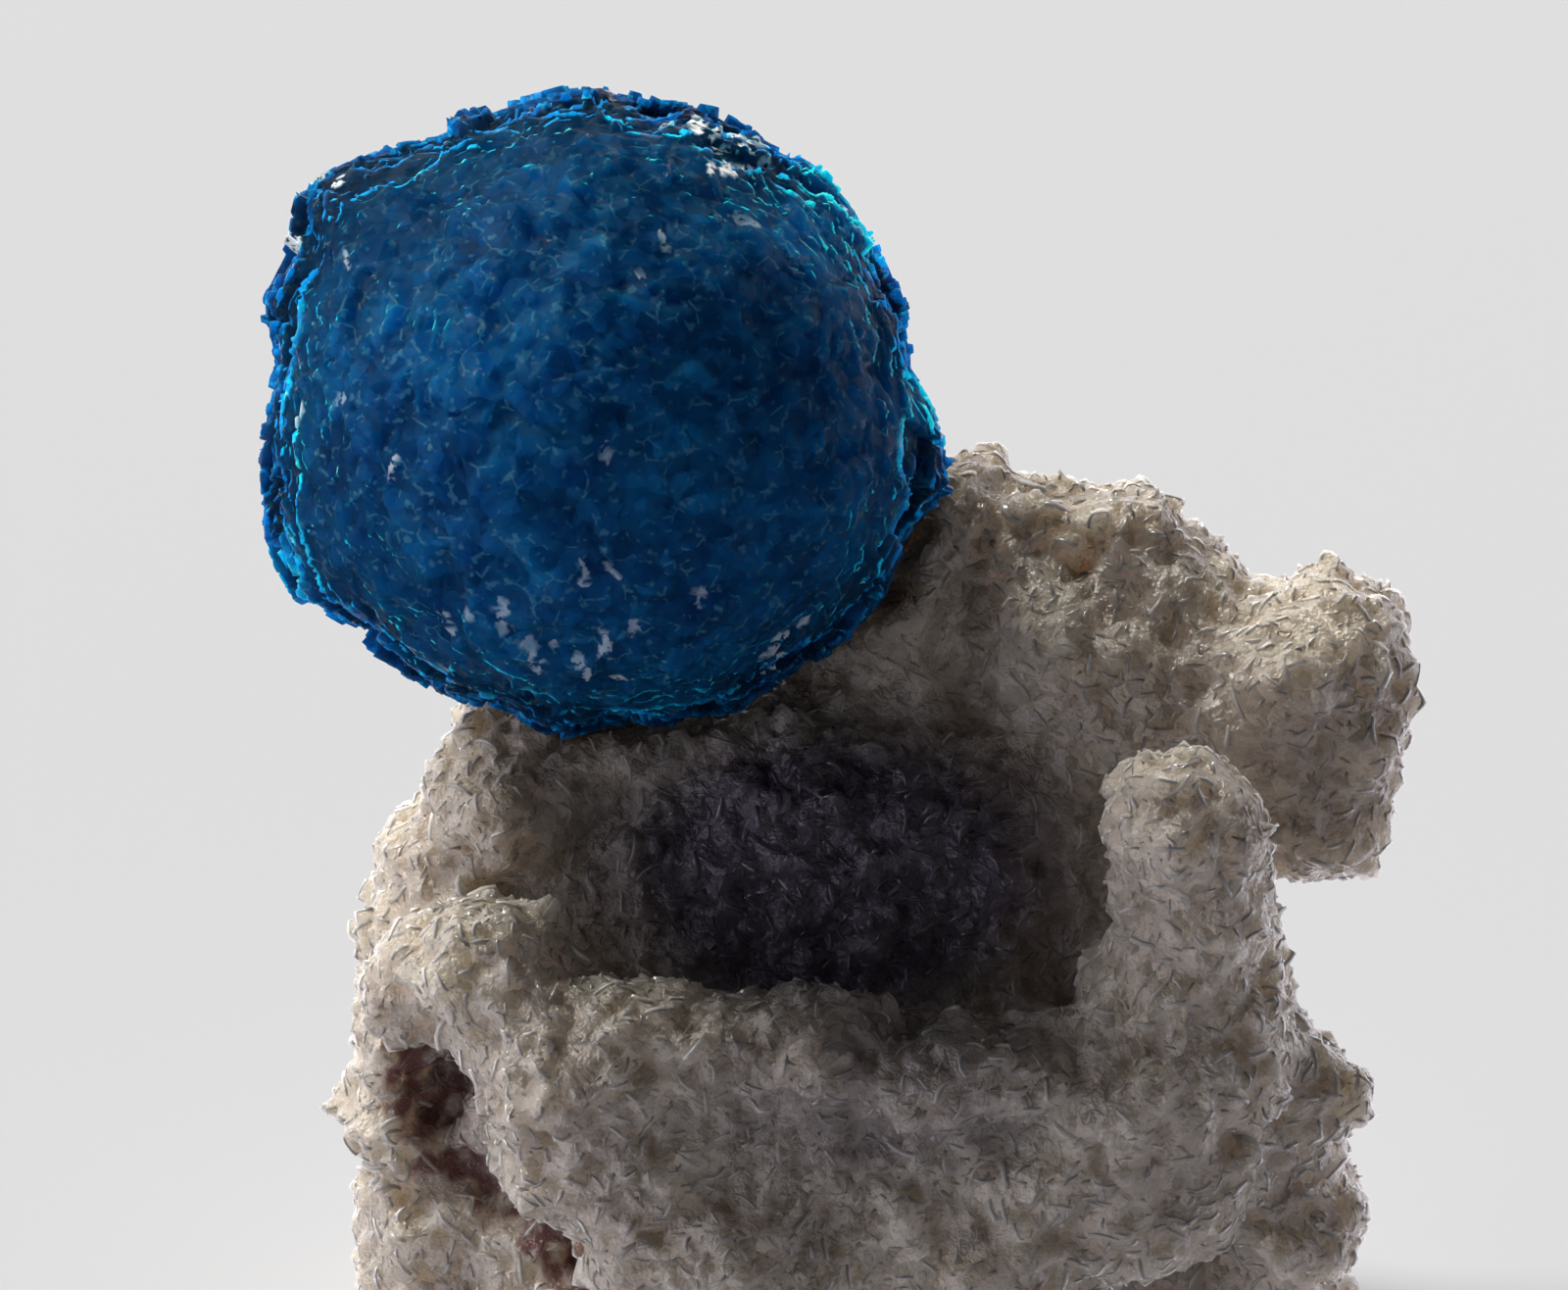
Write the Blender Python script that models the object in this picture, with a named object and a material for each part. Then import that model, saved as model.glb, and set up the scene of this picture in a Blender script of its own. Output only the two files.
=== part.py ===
"""Cavansite rosette on a stilbite matrix: a hand specimen that stands on its flat, broken base.

Two solids, +Z up, with the origin in the base.  -Y faces the viewer.  All sizes below are in millimetres, and
the finished meshes are scaled to metres.  The rosette is a ball of radiating blades that grew from one heart.
The matrix is a block of merging lumps with a crust of small tabular crystals, and a seat for the rosette.
"""

import math
import random

import bmesh
import bpy
from mathutils import Matrix, Vector, noise
from mathutils.kdtree import KDTree

MM = 0.001  # metres in a millimetre

# Rosette
ROSETTE_CENTRE = (-5.3, -1.0, 20.45)
ROSETTE_REACH = (7.1, 6.6, 6.4, 6.55, 6.6, 7.0, 6.7, 7.0, 6.5, 6.5, 6.7, 7.0)  # each 30 degrees, from +X over +Z
FRONT_TILT = 15.0  # the outline above lies in a plane that leans back by this many degrees
BLADE_COUNT = 360
BLADE_WIDTH = (1.2, 2.3)
BLADE_THICKNESS = (0.6, 1.1)
BLADE_STEP = 0.24  # how far a blade ends above or below its neighbours
BLADE_SLANT = 0.16  # how far one edge of a blade's end stands above its middle
ROSETTE_TRIANGLES = 4400
SEAT_GAP = 0.38
SEAT_TRIANGLES = 1400

# Matrix: lumps that merge, as (centre), (radii)
LUMPS = (
    ((-0.6, 0.6, 3.4), (9.4, 5.6, 7.6)),  # lower body
    ((-0.4, 1.4, 9.5), (8.2, 4.4, 5.2)),  # upper body, behind the hollow
    ((2.5, 2.2, 17.4), (1.26, 1.8, 1.51)),  # right ridge, beside the rosette
    ((3.7, 1.8, 16.9), (1.26, 2.0, 1.67)),  # right ridge, second hump
    ((5.5, 1.6, 17.0), (1.26, 2.0, 1.51)),  # right ridge, third hump
    ((6.9, 1.2, 16.1), (1.18, 1.9, 1.3)),  # right ridge, fourth hump
    ((8.3, 0.8, 15.3), (1.05, 1.7, 1.21)),  # right ridge, dip
    ((9.7, 0.0, 15.7), (1.46, 2.0, 1.38)),  # arm, top
    ((8.8, -1.4, 15.2), (1.26, 1.4, 1.25)),  # arm, shoulder
    ((9.9, -0.4, 13.8), (1.26, 2.1, 1.67)),  # arm, front
    ((9.4, -0.2, 12.2), (1.42, 2.0, 1.71)),  # arm, underside
    ((7.9, 0.6, 13.5), (1.93, 2.4, 2.51)),  # arm, root
    ((5.8, 1.0, 14.6), (2.43, 2.6, 2.51)),  # wall, face
    ((4.0, 0.0, 15.5), (1.05, 1.6, 1.25)),  # wall, step
    ((4.9, 2.0, 10.9), (3.04, 3.4, 3.97)),  # wall, foot
    ((1.6, 2.6, 14.6), (2.6, 2.4, 2.6)),  # wall, behind the rosette
    ((0.7, 1.8, 16.4), (2.2, 2.4, 2.8)),  # wall, against the rosette
    ((-4.6, 1.8, 12.8), (4.0, 3.2, 3.0)),  # shelf under the rosette
    ((6.5, -4.8, 12.9), (1.62, 1.6, 1.59)),  # knob, tip
    ((6.7, -4.3, 11.2), (1.58, 1.8, 1.88)),  # knob, stem
    ((6.6, -3.9, 9.2), (2.13, 2.2, 1.67)),  # knob, foot
    ((8.0, -3.4, 9.9), (0.77, 1.2, 0.75)),  # bump beside the knob
    ((7.7, -3.3, 8.6), (1.05, 1.5, 0.92)),  # bump under the knob
    ((8.6, -3.0, 6.8), (1.54, 2.0, 1.51)),  # right lobe, upper
    ((8.9, -2.2, 3.9), (1.62, 2.4, 1.42)),  # right lobe, lower
    ((8.5, -1.2, 0.2), (2.13, 3.2, 2.3)),  # right foot
    ((5.5, -5.0, 7.9), (3.04, 2.0, 0.96)),  # ledge, right
    ((1.6, -5.7, 8.1), (2.64, 1.9, 0.88)),  # ledge, middle
    ((-1.6, -5.6, 8.5), (2.23, 1.9, 1.09)),  # ledge, left
    ((3.7, -4.5, 5.6), (4.67, 2.2, 2.4)),  # face under the ledge
    ((-1.2, -5.2, 6.0), (3.2, 1.9, 1.9)),  # face under the ledge, middle
    ((-5.7, -5.5, 8.3), (2.27, 2.2, 1.76)),  # left lobe
    ((-3.8, -5.4, 8.2), (1.9, 1.9, 1.5)),  # saddle between the left lobe and the ledge
    ((-7.7, -4.6, 9.9), (1.7, 1.9, 1.3)),  # left lobe, crest
    ((-9.1, -3.2, 9.2), (1.18, 1.6, 1.3)),  # left lobe, end
    ((-4.9, -5.7, 6.2), (2.4, 1.9, 1.5)),  # lump under the left lobe
    ((-2.5, -6.1, 4.4), (3.25, 1.8, 1.4)),  # lower lip
    ((2.1, -5.0, 4.1), (3.0, 2.0, 1.7)),  # lower lip, right
    ((-7.3, 0.4, 12.3), (1.7, 3.0, 1.55)),  # left flank, under the rosette
    ((-8.7, 0.6, 10.7), (1.34, 2.6, 1.09)),  # left flank, upper
    ((-9.2, 0.8, 9.0), (1.3, 2.8, 1.38)),  # left flank, shoulder
    ((-9.5, 0.4, 7.2), (1.14, 2.8, 1.38)),  # left flank, middle
    ((-9.7, 0.6, 5.3), (1.26, 2.8, 1.0)),  # left flank, lower
    ((-9.2, 0.6, 3.2), (1.34, 3.2, 1.67)),  # left flank, foot
    ((-8.9, 0.2, 0.3), (1.83, 3.8, 2.51)),  # left foot
    ((-2.4, -3.0, 0.7), (5.68, 3.6, 2.72)),  # front foot
    ((2.0, 4.2, 4.5), (5.5, 2.8, 5.5)),  # back, lower
    ((-4.4, 4.0, 9.0), (3.6, 2.2, 4.0)),  # back, left
    ((4.6, 4.2, 11.0), (3.4, 2.2, 3.6)),  # back, right
    ((0.0, 4.4, 13.0), (2.6, 1.8, 2.4)),  # back, top
    ((1.0, 3.6, 0.6), (7.0, 3.0, 3.2)),  # back foot
)
CLEFT = (  # hollows of a crooked cleft in the left front, as (centre), radius
    ((-9.1, -2.4, 7.2), 0.6),
    ((-9.4, -2.2, 6.6), 0.5),
    ((-8.7, -1.9, 6.4), 0.7),
    ((-8.3, -2.0, 6.7), 0.5),
    ((-8.9, -2.1, 5.8), 0.6),
    ((-8.4, -2.3, 4.9), 0.5),
    ((-7.8, -3.0, 4.6), 0.7),
    ((-7.1, -3.4, 4.3), 0.6),
    ((-6.5, -3.9, 3.8), 0.5),
    ((-5.9, -4.2, 3.2), 0.6),
    ((-5.3, -4.8, 2.6), 0.5),
)
BODY_VOXEL = 0.33
BODY_SWELL = 0.55  # height of the knobs that cover the lumps
BODY_KNOB = 1.5  # distance between those knobs
BODY_TRIANGLES = 4500
CRUST_VOXEL = 0.16
TABLET_COUNT = 300
TABLET_LENGTH = (0.9, 1.3)
TABLET_WIDTH = (0.7, 1.1)
TABLET_THICKNESS = 0.4


def clear_scene():
    for obj in list(bpy.data.objects):
        bpy.data.objects.remove(obj, do_unlink=True)


def cavansite_material():
    mat = bpy.data.materials.new("cavansite")
    mat.use_nodes = True
    bsdf = mat.node_tree.nodes["Principled BSDF"]
    bsdf.inputs["Base Color"].default_value = (0.006, 0.07, 0.17, 1)
    bsdf.inputs["Roughness"].default_value = 0.28
    bsdf.inputs["IOR"].default_value = 1.55
    bsdf.inputs["Transmission Weight"].default_value = 0.25
    return mat


def stilbite_material():
    mat = bpy.data.materials.new("stilbite")
    mat.use_nodes = True
    bsdf = mat.node_tree.nodes["Principled BSDF"]
    bsdf.inputs["Base Color"].default_value = (0.42, 0.38, 0.31, 1)
    bsdf.inputs["Roughness"].default_value = 0.5
    bsdf.inputs["IOR"].default_value = 1.5
    return mat


def add_object(name, bm, material=None):
    """An object made from the bmesh, which is freed."""
    mesh = bpy.data.meshes.new(name)
    bm.to_mesh(mesh)
    bm.free()
    obj = bpy.data.objects.new(name, mesh)
    bpy.context.scene.collection.objects.link(obj)
    if material:
        mesh.materials.append(material)
    return obj


def apply_modifiers(obj):
    """Swaps the object's mesh for the one that its modifiers make."""
    graph = bpy.context.evaluated_depsgraph_get()
    mesh = bpy.data.meshes.new_from_object(obj.evaluated_get(graph))
    obj.modifiers.clear()
    obj.data = mesh


def combine(obj, other, operation):
    """A Boolean of the two objects, kept in the first.  The second one goes."""
    mod = obj.modifiers.new(operation, "BOOLEAN")
    mod.operation = operation
    mod.solver = "EXACT"
    mod.use_self = True
    mod.object = other
    apply_modifiers(obj)
    bpy.data.objects.remove(other, do_unlink=True)


def thin_out(obj, triangles):
    """Merges the flattest faces until about this many triangles are left."""
    thin = obj.modifiers.new("thin", "DECIMATE")
    thin.ratio = triangles / sum(len(face.vertices) - 2 for face in obj.data.polygons)
    apply_modifiers(obj)


def drop_crumbs(obj):
    """Keeps the largest body of the mesh, without the crumbs that a cut has left."""
    bm = bmesh.new()
    bm.from_mesh(obj.data)
    left = set(bm.faces)
    bodies = []
    while left:
        body = [left.pop()]
        for face in body:
            near = {other for edge in face.edges if len(edge.link_faces) == 2 for other in edge.link_faces} & left
            left -= near
            body.extend(near)
        bodies.append(body)
    bodies.sort(key=len)
    bmesh.ops.delete(bm, geom=sum(bodies[:-1], []), context="FACES")
    bm.to_mesh(obj.data)
    bm.free()


def add_ball(bm, centre, radii, detail=3):
    where = Matrix.Translation(centre) @ Matrix.Diagonal((*radii, 1))
    return bmesh.ops.create_icosphere(bm, subdivisions=detail, radius=1, matrix=where)["verts"]


def even_direction(i, count):
    """The i-th of count directions that are spread evenly over a ball."""
    z = 1 - (2 * i + 1) / count
    turn = i * math.pi * (3 - math.sqrt(5))
    ring = math.sqrt(1 - z * z)
    return Vector((ring * math.cos(turn), ring * math.sin(turn), z))


def rosette_reach(direction):
    """Distance from the rosette's centre to the ends of its blades."""
    flat = Matrix.Rotation(math.radians(-FRONT_TILT), 3, "X") @ direction
    at = math.degrees(math.atan2(flat.z, flat.x)) % 360 / 30
    low = int(at) % 12
    side = ROSETTE_REACH[low] + (at - int(at)) * (ROSETTE_REACH[(low + 1) % 12] - ROSETTE_REACH[low])
    middle = sum(ROSETTE_REACH) / 12
    share = flat.x**2 + flat.z**2
    return middle + share * (side - middle) - BLADE_STEP / 2


def grow_blades(rng):
    """The blades as (direction, across, through, half width, half thickness, reach, slants)."""
    blades = []
    for i in range(BLADE_COUNT):
        way = even_direction(i, BLADE_COUNT)
        way = (way + Vector([rng.gauss(0, 0.03) for _ in range(3)])).normalized()
        across = way.cross(Vector([rng.gauss(0, 1) for _ in range(3)])).normalized()
        step = rng.uniform(-BLADE_STEP, BLADE_STEP)
        slants = (rng.uniform(-BLADE_SLANT, BLADE_SLANT), rng.uniform(-BLADE_SLANT, BLADE_SLANT))
        width = rng.uniform(*BLADE_WIDTH) / 2
        thick = rng.uniform(*BLADE_THICKNESS) / 2
        blades.append((way, across, way.cross(across), width, thick, rosette_reach(way) + step, slants))
    return blades


def blade_end(way, blades, finder):
    """Distance from the centre to the flat end of the blade that holds this direction."""
    near = (9.0, 0.0)
    for i in [found[1] for found in finder.find_n(way, 9)]:
        axis, across, through, width, thick, reach, slants = blades[i]
        lift = way.dot(axis)
        u = way.dot(across) * reach / width
        v = way.dot(through) * reach / thick
        apart = max(abs(u), abs(v)) + 0.3 * (u * u + v * v)
        if apart < near[0]:
            u = max(-1.2, min(1.2, u))
            v = max(-1.2, min(1.2, v))
            near = (apart, (reach + slants[0] * u + slants[1] * v) / lift)
    return near[1]


def cavansite_rosette(material):
    blades = grow_blades(random.Random(7))
    finder = KDTree(len(blades))
    for i, blade in enumerate(blades):
        finder.insert(blade[0], i)
    finder.balance()
    bm = bmesh.new()
    for vert in add_ball(bm, (0, 0, 0), (1, 1, 1), 6):
        way = vert.co.normalized()
        vert.co = Vector(ROSETTE_CENTRE) + way * blade_end(way, blades, finder)
    rosette = add_object("cavansite_rosette", bm, material)
    thin_out(rosette, ROSETTE_TRIANGLES)
    return rosette


def seat_cutter(rosette):
    """A plainer copy of the rosette, one gap larger all round."""
    bm = bmesh.new()
    bm.from_mesh(rosette.data)
    for vert in bm.verts:
        vert.co += (vert.co - Vector(ROSETTE_CENTRE)).normalized() * SEAT_GAP
    seat = add_object("seat", bm)
    thin_out(seat, SEAT_TRIANGLES)
    return seat


def knobs(point):
    """Height of the knobbly crust at this point."""
    cells = noise.voronoi(point / BODY_KNOB, distance_metric="DISTANCE")[0]
    return BODY_SWELL * (0.7 - cells[0])


def add_tablets(bm, rng):
    """Small coffin-shaped crystals that stand out of the lumps."""
    spots = [(face.calc_center_median(), face.normal.copy()) for face in bm.faces]
    for spot, normal in rng.sample([spot for spot in spots if spot[0].z > 1], TABLET_COUNT):
        lean = Vector([rng.gauss(0, 0.5) for _ in range(3)])
        axis = (normal + lean).normalized()
        across = axis.cross(Vector([rng.gauss(0, 1) for _ in range(3)])).normalized()
        through = axis.cross(across)
        length = rng.uniform(*TABLET_LENGTH)
        width = rng.uniform(*TABLET_WIDTH) / 2
        ring = []
        for side in (-1, 1):
            for a, b in ((-1, 0), (1, 0), (1, 0.7), (0, 1), (-1, 0.7)):
                offset = across * width * a + axis * length * (b - 0.55) + through * TABLET_THICKNESS / 2 * side
                ring.append(bm.verts.new(spot + offset))
        faces = [bm.faces.new(ring[4::-1]), bm.faces.new(ring[5:])]
        faces += [bm.faces.new((ring[i], ring[(i + 1) % 5], ring[(i + 1) % 5 + 5], ring[i + 5])) for i in range(5)]
        bmesh.ops.recalc_face_normals(bm, faces=faces)


def fuse_and_ease(obj, voxel, rounds):
    fuse = obj.modifiers.new("fuse", "REMESH")
    fuse.mode = "VOXEL"
    fuse.voxel_size = voxel
    ease = obj.modifiers.new("ease", "SMOOTH")
    ease.factor = 0.5
    ease.iterations = rounds
    apply_modifiers(obj)


def matrix_body():
    """The lumps as one body with knobs and tablets on it."""
    bm = bmesh.new()
    for centre, radii in LUMPS:
        add_ball(bm, centre, radii)
    body = add_object("body", bm)
    fuse_and_ease(body, BODY_VOXEL, 3)
    bm = bmesh.new()
    bm.from_mesh(body.data)
    for vert in bm.verts:
        vert.co += vert.normal * knobs(vert.co)
    add_tablets(bm, random.Random(3))
    bm.to_mesh(body.data)
    bm.free()
    fuse_and_ease(body, CRUST_VOXEL, 1)
    return body


def cleft_cutter():
    bm = bmesh.new()
    for centre, radius in CLEFT:
        add_ball(bm, centre, (radius, radius * 2, radius), 2)
    return add_object("cleft", bm)


def ground_cutter():
    bm = bmesh.new()
    where = Matrix.Translation((0, 0, -5)) @ Matrix.Diagonal((40, 40, 10, 1))
    bmesh.ops.create_cube(bm, size=1, matrix=where)
    return add_object("ground", bm)


def stilbite_matrix(material, rosette):
    body = matrix_body()
    thin_out(body, BODY_TRIANGLES)
    combine(body, cleft_cutter(), "DIFFERENCE")
    combine(body, seat_cutter(rosette), "DIFFERENCE")
    combine(body, ground_cutter(), "DIFFERENCE")
    drop_crumbs(body)
    body.name = "stilbite_matrix"
    body.data.materials.clear()
    body.data.materials.append(material)
    return body


def main():
    clear_scene()
    rosette = cavansite_rosette(cavansite_material())
    matrix = stilbite_matrix(stilbite_material(), rosette)
    for piece in (rosette, matrix):
        piece.data.transform(Matrix.Scale(MM, 4))


main()
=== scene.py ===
"""Looks of the cavansite rosette on its stilbite matrix: fine blades, a crust of small crystals and light.

The solids of the frame give every place and size.  The rosette is redrawn as thousands of thin blades
whose ends follow its solid.  The matrix is redrawn as a knobbly body, grown over with rounded tablets.
Sizes below are in millimetres, and MM turns them into metres.
"""

import math

import bmesh
import bpy
import numpy as np
from mathutils import Matrix, Vector, noise
from mathutils.bvhtree import BVHTree
from mathutils.kdtree import KDTree


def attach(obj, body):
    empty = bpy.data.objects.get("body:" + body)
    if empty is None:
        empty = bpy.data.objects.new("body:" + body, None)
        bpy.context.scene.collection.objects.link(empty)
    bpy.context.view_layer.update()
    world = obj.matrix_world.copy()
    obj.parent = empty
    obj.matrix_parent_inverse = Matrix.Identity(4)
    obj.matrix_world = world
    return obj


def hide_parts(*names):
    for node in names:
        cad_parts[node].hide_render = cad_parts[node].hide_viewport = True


MM = 0.001

# Camera, with the frame's width measured across the middle of the object
FRAME_PIXELS = (1600, 1316)
VIEW_WIDTH = 32.45
VIEW_DISTANCE = 150.0
VIEW_TILT = 15.0
VIEW_TARGET = (-1.62, 0.0, 15.5)

# Light
KEY_LIGHT = ((-0.36, 0.30, 0.88), 2.1, 16)
SIDE_LIGHT = ((-0.66, 0.25, 0.71), 2.1, 20)
SUN_COLOUR = (1.0, 0.96, 0.89)
SKY_LOBES = (
    ((0.3, 0.93, -0.2), 0.45, 0.75, 2.0),
    ((-0.95, -0.2, -0.15), 0.65, 1.0, 1.9),
    ((0.2, -0.6, -0.75), 0.5, 1.0, 0.36),
    ((1.0, 0.0, -0.2), 0.7, 1.0, 0.7),
)
SKY_DIM = 0.02
SKY_COLOUR = (1.0, 0.98, 1.09)
BACKDROP = 0.76

# Rosette
ROSETTE_CENTRE = (-5.3, -1.0, 20.45)
ROSETTE_RADIUS = 6.75
ROSETTE_OUTLINE = (
    (6.97, 6.36, 6.51, 6.53, 6.80, 6.78, 6.64, 6.78, 6.59, 6.88, 6.79, 6.83)
    + (6.91, 7.36, 7.79, 7.32, 7.31, 6.84, 6.96, 7.07, 7.28, 7.19, 6.70, 6.45)
    + (6.46, 6.31, 6.60, 6.15, 6.18, 6.43, 6.45, 6.48, 6.65, 6.75, 6.72, 7.11)
)
BALL_SPLITS = 210
BALL_TRIANGLES = 196000
BUNDLES = 620
BUNDLE_WIDTH = (0.8, 2.0)
BUNDLE_THICKNESS = (0.5, 1.1)
BUNDLE_STEP = 0.11
RIM_TEETH = 3.0
RIM_NOTCH = (0.16, 0.4)
RIM_SINK = 0.16
RELIEF = 0.3
# Painted reflections: pale, silvery blade faces, a few at random and near these places
PAINTED_REFLECTION_SHARE = 0.003
PAINTED_REFLECTION_PLACES = (
    ((-0.36, -0.59), (-0.20, -0.70), (-0.17, -0.76), (-0.06, -0.72), (-0.03, -0.77), (0.02, -0.66))
    + ((-0.29, -0.57), (-0.31, -0.62), (0.12, -0.62), (0.55, -0.74), (-0.05, -0.48), (0.06, -0.13))
    + ((0.20, 0.53), (0.12, 0.42), (0.30, -0.55), (-0.45, -0.62), (0.62, -0.60), (-0.13, -0.68))
)
# Painted glints: white blade faces near these places on the rim
PAINTED_GLINT_PLACES = ((-0.86, 0.50), (-0.74, 0.66), (0.38, 0.86), (0.38, 0.78), (0.29, 0.90), (0.45, 0.83))
# Painted light: patches where the blue is made lighter, standing in for light shining through the crystals
PAINTED_GLOW_PLACES = (
    ((0.69, 0.60), 0.17, 1.1),
    ((0.94, 0.05), 0.10, 0.8),
    ((-0.86, -0.42), 0.13, 0.4),
    ((-0.57, 0.21), 0.13, 0.25),
    ((-0.55, -0.28), 0.15, 0.2),
    ((-0.15, 0.12), 0.13, 0.3),
)
# Painted light and shade: how light the blue is for how far a place faces the camera, darkest near the rim
PAINTED_LIGHT_BY_FACING = ((-1, -0.2, 0.15, 0.35, 0.55, 1), (0.5, 0.25, 0.13, 0.36, 0.85, 1.25))
# Painted reflections: how pale their faces are, and their size
PAINTED_REFLECTION = 0.6
PAINTED_REFLECTION_SIZE = (0.75, 0.24)
BLADES = 9000
BLADE_WIDTH = (0.25, 1.3)
BLADE_THICKNESS = (0.12, 0.45)
BLADE_TWIST = 0.35
BLADE_STEP = 0.018
BLADE_LEAN = 0.045
BLADE_ROOF = (-0.03, 0.06)

# Matrix
CORE_VOXEL = 0.2
CORE_SINK = 0.15
KNOB_SIZE = 1.0
KNOB_HEIGHT = 0.35
CRUST_VOXEL = 0.11
CRUST_ROUNDS = 1
CRUST_TRIANGLES = 196000
FUSED_THICKNESS = 0.42
FUSED_HEIGHT = 0.4
TABLETS = 28000
TABLET_PIECES = 3
PIECE_TABLETS = 6900
TABLET_HEIGHT = 0.5
TABLET_COLUMNS = 4
TABLET_LENGTH = (0.36, 0.09)
TABLET_WIDTH = (0.8, 1.5)
TABLET_THICKNESS = 0.13
TABLET_ROLL = (0.2, 1.2)
LARGE_PLATES = ((-2.0, -3.0, 13.5), (-5.2, -4.5, 11.5), (4.3, -6.5, 7.6), (3.4, -1.0, 19.0), (-1.0, -6.5, 6.0))
LARGE_SIZE = 1.0
TABLET_LEAN = 0.55
TABLET_RISE = -0.02
CLEFT = (
    (-9.1, -2.4, 7.2),
    (-9.4, -2.2, 6.6),
    (-8.7, -1.9, 6.4),
    (-8.3, -2.0, 6.7),
    (-8.9, -2.1, 5.8),
    (-8.4, -2.3, 4.9),
    (-7.8, -3.0, 4.6),
    (-7.1, -3.4, 4.3),
    (-6.5, -3.9, 3.8),
    (-5.9, -4.2, 3.2),
    (-5.3, -4.8, 2.6),
)
CLEFT_REACH = 0.72
# Painted shade: dark in the pocket under the ball, where its shadow falls, and greyer on the ledge before it
PAINTED_SHADE_PLACES = (((-0.6, -2.2, 11.2), (6.4, 4.2, 4.2), 1.0), ((0.5, -6.0, 8.0), (4.8, 2.6, 2.4), 0.45))


class Nodes:
    """Small helper that adds linked shader nodes to a material."""

    def __init__(self, mat):
        mat.use_nodes = True
        self.tree = mat.node_tree
        self.bsdf = self.tree.nodes["Principled BSDF"]
        self.place = self.add("ShaderNodeTexCoord").outputs["Object"]

    def add(self, kind, **settings):
        node = self.tree.nodes.new(kind)
        for key, value in settings.items():
            setattr(node, key, value)
        return node

    def link(self, source, target):
        self.tree.links.new(source, target)

    def noise(self, size_mm, detail=3.0, rough=0.5):
        """Noise whose lumps are about this size, from 0 to 1."""
        node = self.add("ShaderNodeTexNoise")
        node.inputs["Scale"].default_value = 1000 / size_mm
        node.inputs["Detail"].default_value = detail
        node.inputs["Roughness"].default_value = rough
        self.link(self.place, node.inputs["Vector"])
        return node.outputs["Fac"]

    def cells(self, size_mm, feature="F1"):
        """Angular cells about this size."""
        node = self.add("ShaderNodeTexVoronoi", feature=feature)
        node.inputs["Scale"].default_value = 1000 / size_mm
        self.link(self.place, node.inputs["Vector"])
        return node.outputs

    def vectors(self, operation, first, second):
        node = self.add("ShaderNodeVectorMath", operation=operation)
        for value, socket in ((first, node.inputs[0]), (second, node.inputs[1])):
            if isinstance(value, bpy.types.NodeSocket):
                self.link(value, socket)
            else:
                socket.default_value = value
        return node.outputs["Value" if operation == "DOT_PRODUCT" else "Vector"]

    def facets(self, size_mm):
        """Height of flat cells about this size, each tilted its own way."""
        cells = self.cells(size_mm)
        tilt = self.vectors("SUBTRACT", cells["Color"], (0.5, 0.5, 0.5))
        apart = self.vectors("SUBTRACT", self.place, cells["Position"])
        apart = self.vectors("MULTIPLY", apart, (1000 / size_mm,) * 3)
        return self.vectors("DOT_PRODUCT", tilt, apart)

    def ramp(self, source, *stops):
        """Colours at given places along the source's value."""
        node = self.add("ShaderNodeValToRGB")
        ramp = node.color_ramp
        while len(ramp.elements) < len(stops):
            ramp.elements.new(0.5)
        for element, (at, colour) in zip(ramp.elements, stops):
            element.position = at
            element.color = (*colour, 1) if len(colour) == 3 else colour
        self.link(source, node.inputs["Fac"])
        return node.outputs["Color"]

    def mix(self, share, first, second, blend="MIX"):
        node = self.add("ShaderNodeMix", data_type="RGBA", blend_type=blend)
        for value, socket in ((share, node.inputs[0]), (first, node.inputs[6]), (second, node.inputs[7])):
            if isinstance(value, bpy.types.NodeSocket):
                self.link(value, socket)
            else:
                socket.default_value = value if isinstance(value, float) else (*value, 1)
        return node.outputs[2]

    def math(self, operation, first, second):
        node = self.add("ShaderNodeMath", operation=operation)
        for value, socket in ((first, node.inputs[0]), (second, node.inputs[1])):
            if isinstance(value, bpy.types.NodeSocket):
                self.link(value, socket)
            else:
                socket.default_value = value
        return node.outputs[0]

    def bump(self, height, distance_mm, strength=1.0):
        node = self.add("ShaderNodeBump")
        node.inputs["Strength"].default_value = strength
        node.inputs["Distance"].default_value = distance_mm * MM
        self.link(height, node.inputs["Height"])
        self.link(node.outputs["Normal"], self.bsdf.inputs["Normal"])

    def each_piece(self):
        """A random value for each separate blade or tablet of the mesh."""
        return self.add("ShaderNodeNewGeometry").outputs["Random Per Island"]

    def attribute(self, name):
        return self.add("ShaderNodeAttribute", attribute_name=name).outputs["Fac"]


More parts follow.
